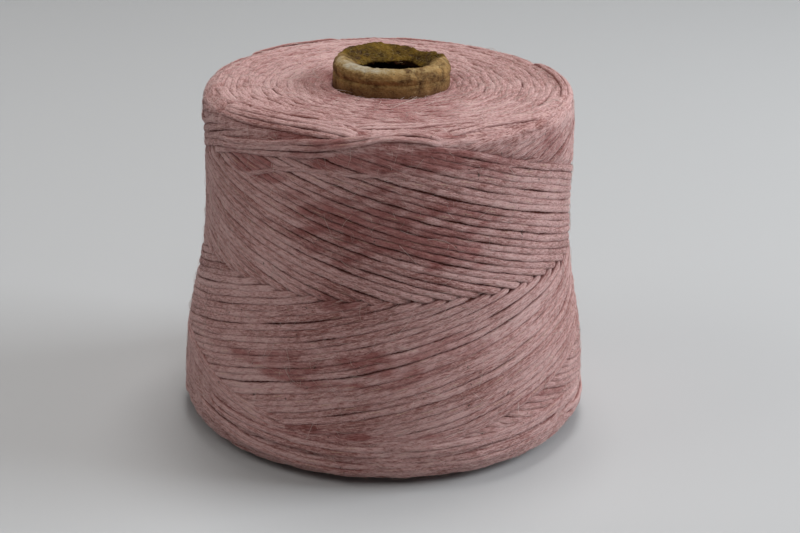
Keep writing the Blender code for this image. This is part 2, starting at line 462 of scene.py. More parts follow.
def wind_side(material):
    """The turns on the side: strokes down and up, each above and below the seam."""
    names = [f"{way}_turns_{half}" for way in ("falling", "rising") for half in ("above", "below")]
    layers = {name: Strips(TURN_VALUES) for name in names}
    seam = outline.at_height(SEAM_HEIGHT)
    progress = np.linspace(0.0, TURN, STROKE_POINTS)
    for number in range(STROKES):
        for way, own_turn in (("falling", 0), ("rising", 1)):
            path = stroke_path(TURN - progress if own_turn else progress)
            level = shown_level(progress, number, own_turn)
            first = APEX - math.pi - (STROKES - 1 - number) * TURN / STROKES
            angle = first + progress
            depth = ON_TOP + LAYER_DROP * (1.0 - level) + random.normal(0.0, 0.00007)
            path = path + random.normal(0.0, 0.00016)
            tone = random.normal(0.0, 0.35)
            radius, height, _, _ = outline.place(path)
            loose = patches_at(LOOSE_PLACES, angle, radius, height)
            below = 1.0 - smooth_step(SEAM_HEIGHT - SEAM_BLEND, SEAM_HEIGHT + SEAM_BLEND, height)
            width = random.uniform(0.97, 1.03) * (TIGHT_SWELL - BELOW_LESS * below - LOOSE_LESS * loose)
            run = running(np.hypot(np.diff(path), UPPER_RADIUS * np.diff(angle)))
            for start, end in shown_runs(level > BARELY_SHOWN):
                part = slice(start, end)
                half = "above" if path[part].mean() < seam else "below"
                strips = layers[f"{way}_turns_{half}"]
                lay_twine(strips, path[part], angle[part], depth[part], run[start], tone, width[part])
    return [strips.make(name, material) for name, strips in layers.items()]


# Ends of the package: rows of turns where each stroke comes up, turns back and dives again
END_ROW_PITCH = 0.00195  # across
END_LENGTH = 0.0150  # one turn's share of its row
END_OVERLAP = 1.50  # its mesh over its share
END_DIVE = 0.0009  # its ends lie this much deeper
END_SLANT = 0.0008  # and this much further in or out
END_POINTS = 40  # samples along it
END_STEP = 0.0010  # between sections of its mesh
UNDERSIDE_STEP = 0.0020  # and where the package stands on its turns


def wind_end(name, first, last, falling_way, material):
    """Rows of short arcs between two places along the outline."""
    strips = Strips(TURN_VALUES)
    rows = max(int(abs(last - first) / END_ROW_PITCH), 1)
    for row in range(rows + 1):
        middle = first + (last - first) * row / rows
        radius = float(outline.place(middle)[0])
        arcs = max(int(TURN * radius / END_LENGTH), 6)
        step = END_STEP if middle < outline.base_begin else UNDERSIDE_STEP
        offset = random.uniform(0.0, TURN)
        for arc in range(arcs):
            centre = offset + TURN * (arc + random.uniform(-0.18, 0.18)) / arcs
            reach = 0.5 * TURN / arcs * END_OVERLAP * random.uniform(0.85, 1.3)
            share = np.linspace(-1.0, 1.0, END_POINTS)
            slant = END_SLANT * random.uniform(0.3, 1.2) * falling_way
            along = middle + slant * share + random.normal(0.0, 0.00025)
            depth = ON_TOP + END_DIVE * np.abs(share) ** 2.4 + random.uniform(0.0, 0.00025)
            start = random.uniform(0.0, PLY_LAY)
            tone = random.normal(0.0, 0.30)
            width = random.uniform(0.96, 1.08)
            along = np.clip(along, 0.0, outline.end)
            lay_twine(strips, along, centre + reach * share, depth, start, tone, width, step=step)
    return strips.make(name, material)


# Slack turns, that lie nearly level over the others. Each path goes through places: the azimuth from
# the front in degrees, and how far past the side's top edge (above) or its bottom edge (below) in
# metres. twines lie side by side, lift is their height over the others, and swell is a twine's width
# over the usual
Slack = namedtuple("Slack", "path twines lift swell")
SLACK_ABOVE = [
    Slack([(-66, 0.0040), (-44, 0.0058), (-22, 0.0062), (-3, 0.0042)], 3, 0.0012, 0.82),
    Slack([(-58, 0.0090), (-40, 0.0094), (-24, 0.0100), (-6, 0.0108)], 2, 0.0009, 0.80),
    Slack([(-72, -0.0095), (-42, -0.0030), (-15, 0.0020), (4, 0.0054), (26, 0.0002)], 2, 0.0011, 0.80),
    Slack([(-70, -0.0135), (-46, -0.0066), (-24, -0.0030), (-6, -0.0004)], 1, 0.0006, 0.80),
    Slack([(-55, -0.0180), (-35, -0.0106), (-26, -0.0084), (-8, -0.0080), (13, -0.0064)], 1, 0.0007, 0.60),
    Slack([(6, -0.0066), (22, -0.0074), (42, -0.0082), (70, -0.0090)], 1, 0.0005, 0.60),
    Slack([(-16, 0.0095), (0, 0.0125), (16, 0.0150), (38, 0.0135)], 2, 0.0007, 0.85),
    Slack([(-66, 0.0118), (-42, 0.0145), (-20, 0.0200)], 2, 0.0006, 0.90),
    Slack([(12, 0.0060), (34, 0.0090), (58, 0.0065)], 2, 0.0006, 0.85),
]
SLACK_BELOW = [
    Slack([(-66, -0.0105), (-50, -0.0062), (-34, -0.0042), (-12, -0.0032), (8, -0.0036)], 2, 0.0009, 0.90),
    Slack([(-3, -0.0030), (20, -0.0046), (45, -0.0062), (72, -0.0080)], 2, 0.0006, 0.90),
    Slack([(-74, -0.0055), (-50, -0.0008), (-33, 0.0024), (-16, 0.0038), (6, 0.0042)], 2, 0.0007, 0.95),
    Slack([(14, 0.0012), (38, 0.0002), (64, -0.0030)], 2, 0.0005, 0.95),
    Slack(
        [(-94, -0.0290), (-78, -0.0226), (-64, -0.0180), (-50, -0.0130), (-36, -0.0094), (-18, -0.0070)],
        3, 0.0006, 0.88,
    ),
]
SLACK_DYE_AND_SHADE = 0.45  # their share of the deeper dyeing and painted shade around them
SLACK_POINTS = 200  # samples along one
SLACK_BEHIND = 7  # this many more round the back at each end,
BEHIND_FIRST = 95.0  # from this azimuth
BEHIND_LAST = 265.0  # to this one


def slack_behind(low, high):
    """Slack turns at random places round the back, between two distances past the edge."""
    rows = []
    for number in range(SLACK_BEHIND):
        share = number / (SLACK_BEHIND - 1)
        middle = BEHIND_FIRST + (BEHIND_LAST - BEHIND_FIRST) * share + random.uniform(-8.0, 8.0)
        half = random.uniform(16.0, 34.0)
        place = random.uniform(low, high)
        path = [
            (middle - half, place + random.uniform(-0.0030, 0.0010)),
            (middle, place + random.uniform(0.0, 0.0015)),
            (middle + half, place + random.uniform(-0.0030, 0.0010)),
        ]
        twines = int(random.integers(1, 4))
        lift = random.uniform(0.0005, 0.0011)
        rows.append(Slack(path, twines, lift, 1.0 if twines > 1 else 0.7))
    return rows


def wind_slack(name, rows, edge, way, material):
    """way is -1 where a distance past the edge goes up, and 1 where it goes down."""
    strips = Strips(TURN_VALUES)
    for row in rows:
        places = np.array([(math.radians(azimuth) * UPPER_RADIUS, past) for azimuth, past in row.path])
        line = rounded(places, SLACK_POINTS)
        share = np.linspace(0.0, 1.0, SLACK_POINTS)
        shown = smooth_step(0.0, 0.18, share) * smooth_step(0.0, 0.18, 1.0 - share)
        for twine in range(row.twines):
            pitch = 0.86 * row.swell * TWINE_WIDTH * (0.5 + 0.5 * shown)
            beside = (twine - 0.5 * (row.twines - 1)) * pitch
            late = random.uniform(-0.02, 0.02)
            lift = row.lift * random.uniform(0.75, 1.2)
            start = random.uniform(0.0, PLY_LAY)
            tone = random.normal(0.05, 0.30)
            width = row.swell * random.uniform(1.00, 1.08)
            along = np.clip(edge + way * (line[:, 1] + beside), 0.0, outline.end)
            angle = line[:, 0] / UPPER_RADIUS - TURN / 4.0 + late
            depth = ON_TOP + LAYER_DROP * (1.0 - shown) - lift * shown
            lay_twine(strips, along, angle, depth, start, tone, width, tinted_and_shaded=SLACK_DYE_AND_SHADE)
    return strips.make(name, material)


UNDERLAY_DEPTH = 0.0016
UNDERLAY_ROWS = 140
UNDERLAY_COLUMNS = 110


def wind_underlay(material):
    """The layer under the turns that show, all round the package, coloured dark: painted shade in the gaps.
    """
    strips = Strips([])
    along = np.linspace(0.0, outline.end, UNDERLAY_ROWS)[:, None]
    angle = np.linspace(0.0, TURN, UNDERLAY_COLUMNS, endpoint=False)[None, :]
    grid, _, _ = on_package(along, angle, UNDERLAY_DEPTH)
    uv = np.stack(np.broadcast_arrays(along, angle * UPPER_RADIUS), axis=-1)
    strips.add(grid[:, ::-1], uv[:, ::-1], {}, closed=True)
    return strips.make("yarn_underlay", material)


# ---- Stray hairs ----

HAIR_COUNT = 3800
HAIR_WIDTH = 0.000110
LONG_HAIRS = 0.16  # share of them
# Ranges in metres: a hair's length, and how far it rises over the turns
Hair = namedtuple("Hair", "length rise")
SHORT_HAIR = Hair((0.0016, 0.0055), (0.0001, 0.0007))
LONG_HAIR = Hair((0.006, 0.016), (0.0002, 0.0010))
HAIR_ROOTED = 0.0001  # its ends lie this deep in the turns
STRAND_POINTS = 5  # along a hair or a shred
STRAND_TIP = 0.35  # its width at its end, over its width at its root
STRAND_GUIDE = (0.31, 0.17, 0.93)  # any direction that no strand follows exactly


def add_strand(strips, point, width):
    """Adds a thin three-sided strand along some points, narrower towards its end."""
    way = unit(np.gradient(point, axis=0))
    side = unit(np.cross(way, STRAND_GUIDE))
    upward = np.cross(way, side)
    around = TURN * np.arange(3) / 3.0
    taper = width * np.linspace(1.0, STRAND_TIP, len(point))[:, None, None] * 0.5
    ring = np.cos(around)[None, :, None] * side[:, None, :]
    ring = ring + np.sin(around)[None, :, None] * upward[:, None, :]
    uv = np.zeros((len(point), 3, 2))
    strips.add(point[:, None, :] + taper * ring, uv, {"tone": random.normal(0.0, 0.5)}, closed=True)


def grow_hairs(material):
    """Short fibres that have come loose, each a thin three-sided strand close over the turns."""
    strips = Strips(["tone"])
    for _ in range(HAIR_COUNT):
        kind = LONG_HAIR if random.random() < LONG_HAIRS else SHORT_HAIR
        length = random.uniform(*kind.length)
        along = random.uniform(0.0, outline.base_begin)
        angle = random.uniform(0.0, TURN)
        heading = random.normal(0.0, 0.6) + (0.0 if random.random() < 0.6 else TURN / 4.0)
        bend = random.normal(0.0, 0.9)
        rise = random.uniform(*kind.rise)
        share = np.linspace(0.0, 1.0, STRAND_POINTS)
        turn = heading + bend * share
        ahead = np.cumsum(np.cos(turn)) * length / STRAND_POINTS
        across = np.cumsum(np.sin(turn)) * length / STRAND_POINTS
        lift = rise * np.sin(np.pi * np.minimum(share * random.uniform(0.7, 1.0), 1.0)) - HAIR_ROOTED
        hair_along = np.clip(along + across, 0.0, outline.base_begin)
        radius = outline.place(hair_along)[0]
        hair_angle = angle + ahead / np.maximum(radius, TUBE_RADIUS)
        point, _, _ = on_package(hair_along, hair_angle, -lift)
        width = random.uniform(1.2, 1.7) * HAIR_WIDTH if kind is LONG_HAIR else HAIR_WIDTH
        add_strand(strips, point, width)
    return strips.make("stray_hairs", material)


# ---- The paper core ----

# A point of the lip's section: its radius, and how far it lies below the crest
LipPoint = namedtuple("LipPoint", "radius down")
# The section in front, rounded over by use, and behind, torn
LIP_FRONT = [
    LipPoint(0.0115, 0.0090),
    LipPoint(0.0119, 0.0055),
    LipPoint(0.0129, 0.0032),
    LipPoint(0.0145, 0.0017),
    LipPoint(0.0162, 0.0010),
    LipPoint(0.0180, 0.0010),
    LipPoint(0.0196, 0.0018),
    LipPoint(0.0207, 0.0030),
    LipPoint(0.0210, 0.0042),
    LipPoint(0.0206, 0.0053),
    LipPoint(0.0200, 0.0060),
    LipPoint(0.0206, 0.0068),
    LipPoint(0.0208, 0.0082),
]
LIP_BEHIND = [
    LipPoint(0.0116, 0.0096),
    LipPoint(0.0113, 0.0066),
    LipPoint(0.0102, 0.0054),
    LipPoint(0.0110, 0.0043),
    LipPoint(0.0128, 0.0035),
    LipPoint(0.0147, 0.0026),
    LipPoint(0.0166, 0.0016),
    LipPoint(0.0183, 0.0008),
    LipPoint(0.0194, 0.0009),
    LipPoint(0.0200, 0.0020),
    LipPoint(0.0203, 0.0040),
    LipPoint(0.0204, 0.0060),
    LipPoint(0.0205, 0.0082),
]
# The torn edge dips most here (angle), by this much, and over this half width around
TORN_ANGLE = math.radians(58.0)
TORN_DROP = 0.0020
TORN_SPREAD = math.radians(27.0)
CREASE_DOWN = 0.0060  # the crease round the front lies this far below the crest,
CREASE_FILLED = 0.0006  # and to the right of the middle it is this much shallower,
CREASE_SPREAD = 0.0008  # over this height above and below it
LIP_RINGS = 84  # rings of the tube's mesh over its lip,
WALL_RINGS = 26  # down its wall,
FOOT_RINGS = 8  # across its foot
BORE_RINGS = 34  # and up its bore
CORE_STEPS = 270  # points in each ring
FRONT_LEFT = math.radians(229.0)  # the crest is scuffed most here
SCUFF_SPREAD = 0.62  # over this half width, in radians
# Heights below the crest where the lip and its scuffed crest begin, and where each is full
LIP_BEGINS = 0.0095
LIP_FULL = 0.0055
CREST_BEGINS = 0.0032
CREST_FULL = 0.0014
CRACK_DEPTH = 0.00032
CRACK_WANDER = 0.03  # radians to either side
# Cracks in the lip and wall: angle (degrees), half width (radians), lean (radians per metre down), depth
Crack = namedtuple("Crack", "angle half lean depth")
CRACKS = [
    Crack(-119.0, 0.014, 9.0, 0.6),
    Crack(-91.0, 0.012, -14.0, 0.5),
    Crack(-66.0, 0.018, 11.0, 0.7),
    Crack(-28.0, 0.016, -12.0, 0.9),
    Crack(12.0, 0.020, 30.0, 0.7),
]


def rumple(along, angle, cells_along, cells_around):
    """Smooth random values from -1 to 1 over a turned surface. along runs from 0 to 1."""
    table = random.uniform(-1.0, 1.0, (cells_along + 2, cells_around))
    place = np.clip(along, 0.0, 1.0) * cells_along
    turn = (angle / TURN % 1.0) * cells_around
    row, column = np.floor(place).astype(int), np.floor(turn).astype(int)
    down, across = smooth_step(0.0, 1.0, place - row), smooth_step(0.0, 1.0, turn - column)
    column = column % cells_around
    beside = (column + 1) % cells_around
    upper = table[row, column] * (1.0 - across) + table[row, beside] * across
    lower = table[row + 1, column] * (1.0 - across) + table[row + 1, beside] * across
    return upper * (1.0 - down) + lower * down


def rumples(along, angle, layers):
    """Sum of layers of rumple: (size, cells along, cells around) each."""
    total = 0.0
    for size, cells_along, cells_around in layers:
        total = total + size * rumple(along, angle, cells_along, cells_around)
    return total


def from_angle(angle, place):
    """Angle past a place around the tube, from minus half a turn to half a turn."""
    return (angle - place + math.pi) % TURN - math.pi


def bell(distance):
    return np.exp(-(distance**2))


def lip_section(rows):
    """A lip's section as even points along a smooth curve."""
    points = np.array([(row.radius, TUBE_HEIGHT - row.down) for row in rows])
    return rounded(points, LIP_RINGS)


def core_section(behind):
    """Radius and height of the tube's section all round: its lip, its wall, its foot and its bore."""
    front, back = lip_section(LIP_FRONT), lip_section(LIP_BEHIND)
    lip = front[:, None, :] * (1.0 - behind[..., None]) + back[:, None, :] * behind[..., None]
    wall_down = np.linspace((front[-1] + back[-1]) / 2.0, (TUBE_RADIUS, 0.0), WALL_RINGS)[1:]
    under = np.linspace((TUBE_RADIUS, 0.0), (BORE_RADIUS, 0.0), FOOT_RINGS)[1:]
    wall_up = np.linspace((BORE_RADIUS, 0.0), front[0], BORE_RINGS)[1:-1]
    rest = np.concatenate([wall_down, under, wall_up])[:, None, :] + np.zeros((1, CORE_STEPS, 1))
    section = np.concatenate([lip, rest])
    return section[..., 0], section[..., 1]


def crack_depth(down, angle, height):
    """How deep the cracks are over the tube, from 0 to 1."""
    cracks = np.zeros(angle.shape)
    for crack in CRACKS:
        place = math.radians(crack.angle) + crack.lean * (TUBE_HEIGHT - height)
        place = place + CRACK_WANDER * rumple(down, angle, 50, 1)
        cracks = np.maximum(cracks, crack.depth * bell(from_angle(angle, place) / crack.half))
    return cracks


def make_core(material):
    """The tube: a worn, bulged lip with a crease below it in front, and a torn edge behind."""
    strips = Strips(["scuff", "torn", "bore", "crack"])
    angle = np.linspace(0.0, TURN, CORE_STEPS, endpoint=False)[None, :]
    edge = 0.10 * rumple(np.zeros(angle.shape), angle, 1, 17)
    behind = smooth_step(-0.12, 0.42, np.sin(angle) + edge)
    radius, height = core_section(behind)
    level = np.zeros(radius.shape)
    angle = angle + level
    down = np.linspace(0.0, 1.0, len(radius))[:, None] + level
    # Where things are: on the lip, on the outside, torn
    lip = smooth_step(TUBE_HEIGHT - LIP_BEGINS, TUBE_HEIGHT - LIP_FULL, height)
    outer = smooth_step(BORE_RADIUS + 0.004, BORE_RADIUS + 0.007, radius)
    torn = behind * lip + (1.0 - outer) * lip * 0.5 * (1.0 - behind)
    # How uneven the paper is, in metres
    dye_and_shade_mask = rumples(down, angle, [(0.00020, 16, 26), (0.00010, 40, 70)])
    fine = rumples(down, angle, [(0.00005, 90, 170), (0.00004, 60, 350)])
    shreds = rumples(down, angle, [(0.00034, 34, 44), (0.00022, 60, 120), (0.00012, 110, 180)])
    sag = rumples(level, angle, [(0.0005, 1, 9), (0.0003, 1, 23)])
    cracks = crack_depth(down, angle, height) * lip * outer * (1.0 - 0.7 * behind)
    hollows = torn * smooth_step(0.00004, 0.00034, -shreds)
    crease = bell((TUBE_HEIGHT - height - CREASE_DOWN) / CREASE_SPREAD)
    to_right = smooth_step(-0.35, 0.25, np.cos(angle)) * (1.0 - behind)
    grow = dye_and_shade_mask * (0.35 + lip) + fine + shreds * torn - CRACK_DEPTH * cracks
    grow = grow + CREASE_FILLED * crease * to_right * outer
    dip = TORN_DROP * bell(from_angle(angle, TORN_ANGLE) / TORN_SPREAD) * smooth_step(0.0, 1.0, lip)
    rise = shreds * torn * 1.3 + sag * lip * (0.3 + behind) - dip
    clear_of_floor = smooth_step(0.0, 0.002, height)
    radius = radius + grow * clear_of_floor
    height = height + rise * clear_of_floor
    grid = turned(radius, angle, height) + (TUBE_X, 0.0, 0.0)
    uv = np.stack([angle * TUBE_RADIUS, height], axis=-1)
    # What the material reads
    crest = smooth_step(TUBE_HEIGHT - CREST_BEGINS, TUBE_HEIGHT - CREST_FULL, height) * (1.0 - behind)
    scuffed = 0.35 + 0.75 * bell(from_angle(angle, FRONT_LEFT) / SCUFF_SPREAD)
    below_crest = TUBE_HEIGHT - height + 0.00035 * rumple(down, angle, 50, 60)
    values = {
        "scuff": crest * scuffed,
        "torn": np.clip(torn, 0.0, 1.0),
        # bore marks painted shade deep in the bore
        "bore": (1.0 - outer) * smooth_step(0.0045, 0.0058, below_crest + 0.0012 * (1.0 - behind)),
        # crack marks painted shade in the cracks and in the hollows of the torn edge
        "crack": np.maximum(cracks, 0.8 * hollows),
    }
    flipped = {name: value[:, ::-1] for name, value in values.items()}
    strips.add(grid[:, ::-1], uv[:, ::-1], flipped, closed=True, looped=True)
    return strips.make("core_paper", material)


SHRED_COUNT = 170
SHRED_WIDTH = 0.00010
# How far below the crest the torn edge lies at each radius
TORN_EDGE = {"radius": [0.0105, 0.0128, 0.0183, 0.0205], "down": [0.0048, 0.0035, 0.0008, 0.0040]}


def grow_shreds(material):
    """Loose paper fibres along the torn edge behind."""
    strips = Strips(["tone"])
    for _ in range(SHRED_COUNT):
        angle = random.uniform(math.radians(-8.0), math.radians(188.0))
        radius = random.uniform(0.0108, 0.0196)
        base = TUBE_HEIGHT - np.interp(radius, TORN_EDGE["radius"], TORN_EDGE["down"])
        base -= TORN_DROP * bell((angle - TORN_ANGLE) / TORN_SPREAD)
        start = turned(radius, angle, base) + (TUBE_X, 0.0, 0.0)
        inward = np.array([-math.cos(angle), -math.sin(angle), 0.0])
        sideways = np.array([-math.sin(angle), math.cos(angle), 0.0])
        length = random.uniform(0.0008, 0.0030)
        way = inward * random.normal(0.1, 0.5) + sideways * random.normal(0.0, 0.8) + (0.0, 0.0, 0.45)
        share = np.linspace(0.0, 1.0, STRAND_POINTS)[:, None]
        droop = np.array([0.0, 0.0, -random.uniform(0.0, 0.5)]) * length
        bend = sideways * random.normal(0.0, 0.3) * length
        add_strand(strips, start + unit(way) * length * share + (droop + bend) * share**2, SHRED_WIDTH)
    return strips.make("core_shreds", material)


# ---- Materials ----


class Surface:
    """A material's node tree, with short calls for the nodes used here."""

    def __init__(self, name):
        self.material = bpy.data.materials.new(name)
        self.material.use_nodes = True
        self.tree = self.material.node_tree
        self.shader = self.tree.nodes["Principled BSDF"]

    def add(self, kind, inputs=None, **settings):
        made = self.tree.nodes.new(kind)
        for name, value in settings.items():
            setattr(made, name, value)
        for name, value in (inputs or {}).items():
            self.feed(made.inputs[name], value)
        return made

    def feed(self, socket, value):
        """Links an output to a socket, or sets a plain value there."""
        if isinstance(value, bpy.types.NodeSocket):
            self.tree.links.new(value, socket)
        else:
            socket.default_value = value

    def attribute(self, name):
        return self.add("ShaderNodeAttribute", attribute_name=name).outputs["Fac"]

    def stretched(self, source, scale, turn=(0.0, 0.0, 0.0)):
        inputs = {"Vector": source, "Scale": scale, "Rotation": turn}
        return self.add("ShaderNodeMapping", inputs).outputs["Vector"]

    def object_place(self):
        return self.add("ShaderNodeTexCoord").outputs["Object"]

    def noise(self, vector, scale, detail=3.0, roughness=0.55):
        inputs = {"Vector": vector, "Scale": scale, "Detail": detail, "Roughness": roughness}
        return self.add("ShaderNodeTexNoise", inputs).outputs["Fac"]

    def spread(self, value, low, high, to_low=0.0, to_high=1.0):
        inputs = {"Value": value, "From Min": low, "From Max": high, "To Min": to_low, "To Max": to_high}
        return self.add("ShaderNodeMapRange", inputs).outputs["Result"]

    def sum(self, first, second, operation="ADD"):
        made = self.add("ShaderNodeMath", operation=operation)
        for socket, value in zip(made.inputs, (first, second)):
            self.feed(socket, value)
        return made.outputs[0]

    def mix(self, share, first, second):
        made = self.add("ShaderNodeMix", data_type="RGBA")
        sockets = [socket for socket in made.inputs if socket.enabled]
        for socket, value in zip(sockets, (share, first, second)):
            self.feed(socket, value)
        return [socket for socket in made.outputs if socket.enabled][0]

    def layered(self, colour, layers):
        """Lays colours over each other, each where its mask goes from low to high, and up to a share."""
        for mask, low, high, share, paint in layers:
            colour = self.mix(self.spread(mask, low, high, 0.0, share), colour, paint)
        return colour

    def total(self, first, *others):
        for other in others:
            first = self.sum(first, other)
        return first

    def bump(self, height, distance, strength=1.0):
        inputs = {"Height": height, "Distance": distance, "Strength": strength}
        return self.add("ShaderNodeBump", inputs).outputs["Normal"]

    def set(self, name, value):
        self.feed(self.shader.inputs[name], value)


# Colours of the yarn, as linear RGB
# The layer under the turns is coloured dark: painted shade
UNDER_SHADE_ROSE = (0.190, 0.062, 0.046, 1.0)  # the layer under the turns
GAP_SHADE_ROSE = (0.330, 0.130, 0.104, 1.0)
PALE_ROSE = (0.655, 0.430, 0.405, 1.0)
MIDDLE_ROSE = (0.512, 0.276, 0.255, 1.0)
SHADE_ROSE = (0.212, 0.070, 0.054, 1.0)
# Painted shade on the twine's flanks, which darkens the gaps between the turns
FLANK_SHADE_ROSE = (0.165, 0.034, 0.024, 1.0)
FLANK_BEGINS = 0.0009  # from the top of the twine round to its flank
FLANK_ENDS = 0.0019
# Colours laid where the dyeing is deeper and where shade is painted
DYE_AND_SHADE_DARK = (0.150, 0.033, 0.028, 1.0)
DYE_AND_SHADE_PALE = (0.370, 0.122, 0.108, 1.0)
STRAW = (0.60, 0.430, 0.310, 1.0)
BROWN_FLECK = (0.045, 0.026, 0.016, 1.0)
SHEEN_ROSE = (0.90, 0.80, 0.79, 1.0)
HAIR_SHADE = (0.34, 0.200, 0.175, 1.0)
HAIR_PALE = (0.74, 0.600, 0.540, 1.0)
FIBRE_TURN = math.radians(28.0)  # from the twine's length to its fibres
# Colours of the paper
DARK_PAPER = (0.062, 0.026, 0.009, 1.0)
BROWN_PAPER = (0.310, 0.176, 0.060, 1.0)
TAN_PAPER = (0.345, 0.245, 0.112, 1.0)
SCUFFED_PAPER = (0.420, 0.370, 0.285, 1.0)
# Painted contact shade, tinted red, where the tube meets the yarn
CONTACT_SHADE_PAPER = (0.105, 0.030, 0.017, 1.0)
TORN_SHADE = (0.038, 0.018, 0.001, 1.0)
TORN_STRAW = (0.140, 0.076, 0.006, 1.0)
TORN_PALE = (0.235, 0.155, 0.022, 1.0)
PAPER_SPECK = (0.036, 0.015, 0.006, 1.0)
# Painted shade deep in the bore
BORE_SHADE = (0.006, 0.0025, 0.0012, 1.0)
# Painted shade in the cracks and in the hollows of the torn edge
CRACK_SHADE = (0.030, 0.012, 0.006, 1.0)
SHRED_SHADE = (0.11, 0.060, 0.015, 1.0)
SHRED_PALE = (0.36, 0.27, 0.11, 1.0)
CONTACT_SHADE_BEGINS = 0.0070  # painted contact shade, tinted red like the yarn, darkens the tube from this far below the crest, and most from here down
CONTACT_SHADE_FULL = 0.0115  # and most from here down


def yarn_material():
    """Dull rose jute: fibres along the plies with painted highlight on their crests and painted shade
    between them, deeper dyeing and painted shade in patches, and painted shade on the twine's flanks.
    """
    made = Surface("rose_jute")
    lay = made.add("ShaderNodeUVMap", uv_map="lay").outputs["UV"]
    here = made.object_place()
    tone = made.attribute("tone")
    dye_and_shade = made.attribute("dye_and_shade")
    ply = made.attribute("ply")
    fibre_way = made.stretched(lay, (330.0, 5200.0, 1.0), (0.0, 0.0, FIBRE_TURN))
    fibres = made.noise(fibre_way, 1.0, 4.0, 0.62)
    fine_way = made.stretched(lay, (900.0, 14000.0, 1.0), (0.0, 0.0, FIBRE_TURN * 1.4))
    fine = made.noise(fine_way, 1.0, 2.0, 0.5)
    speck_way = made.stretched(lay, (390.0, 1700.0, 1.0), (0.0, 0.0, 0.5 * FIBRE_TURN))
    specks = made.noise(speck_way, 1.0, 3.0, 0.6)
    patches = made.noise(here, 34.0, 3.0, 0.6)
    clouds = made.noise(here, 120.0, 3.0, 0.6)
    # light: random tone, fibres, specks and patches, plus painted highlight on the plies' crests and painted
    # shade between them
    light = made.total(
        made.spread(fibres, 0.30, 0.72),
        made.spread(ply, 0.0, 1.0, -0.10, 0.15),
        made.spread(specks, 0.34, 0.66, -0.20, 0.20),
        made.spread(tone, -1.0, 1.0, -0.22, 0.22),
        made.spread(patches, 0.35, 0.65, -0.12, 0.12),
    )
    # Mask of deeper dyeing and of painted shade, made streaky by the fibres
    dye_and_shade_mask = made.total(
        dye_and_shade, made.spread(clouds, 0.35, 0.65, -0.24, 0.24), made.spread(fibres, 0.3, 0.7, 0.16, -0.16)
    )
    tinted_and_shaded = made.mix(made.spread(light, 0.05, 0.95), DYE_AND_SHADE_DARK, DYE_AND_SHADE_PALE)
    across = made.add("ShaderNodeSeparateXYZ", {"Vector": lay}).outputs["Y"]
    from_top = made.sum(across, across, "MULTIPLY")
    straw = made.noise(fibre_way, 0.37, 2.0, 0.4)
    flecks = made.noise(here, 620.0, 2.0, 0.4)
    layers = [
        (light, 0.05, 0.55, 1.0, MIDDLE_ROSE),
        (light, 0.40, 1.05, 1.0, PALE_ROSE),
        (dye_and_shade_mask, 0.15, 1.0, 0.80, tinted_and_shaded),
        # painted shade on the twine's flanks
        (from_top, FLANK_BEGINS**2, FLANK_ENDS**2, 0.70, FLANK_SHADE_ROSE),
        (straw, 0.66, 0.74, 0.6, STRAW),
        (flecks, 0.735, 0.765, 0.8, BROWN_FLECK),
    ]
    made.set("Base Color", made.layered(SHADE_ROSE, layers))
    made.set("Roughness", made.spread(fibres, 0.3, 0.7, 0.92, 0.74))
    relief = made.total(
        made.spread(fibres, 0.2, 0.8, 0.0, 0.75),
        made.spread(fine, 0.2, 0.8, 0.0, 0.25),
        made.spread(specks, 0.3, 0.7, 0.0, 0.45),
    )
    made.set("Normal", made.bump(relief, 0.00028, 0.9))
    sheen = made.spread(from_top, FLANK_BEGINS**2, FLANK_ENDS**2, 0.34, 0.03)
    made.set("Sheen Weight", sheen)
    made.set("Sheen Roughness", 0.40)
    made.set("Sheen Tint", SHEEN_ROSE)
    made.set("Specular IOR Level", 0.20)
    return made.material


def underlay_material():
    """Rose yarn under the turns, coloured darker than them: painted shade."""
    made = Surface("yarn_in_shade")
    here = made.object_place()
    patchy = made.noise(here, 900.0, 3.0, 0.6)
    made.set("Base Color", made.mix(patchy, UNDER_SHADE_ROSE, GAP_SHADE_ROSE))
    made.set("Roughness", made.spread(made.noise(here, 1500.0), 0.3, 0.7, 0.95, 0.85))
    made.set("Specular IOR Level", 0.08)
    made.set("Normal", made.bump(made.noise(here, 1800.0), 0.0003))
    return made.material


def strand_material(name, shade, pale, roughest, smoothest):
    """A material that varies from strand to strand."""
    made = Surface(name)
    tone = made.attribute("tone")
    made.set("Base Color", made.mix(made.spread(tone, -1.0, 1.0), shade, pale))
    made.set("Roughness", made.spread(tone, -1.0, 1.0, roughest, smoothest))
    return made.material


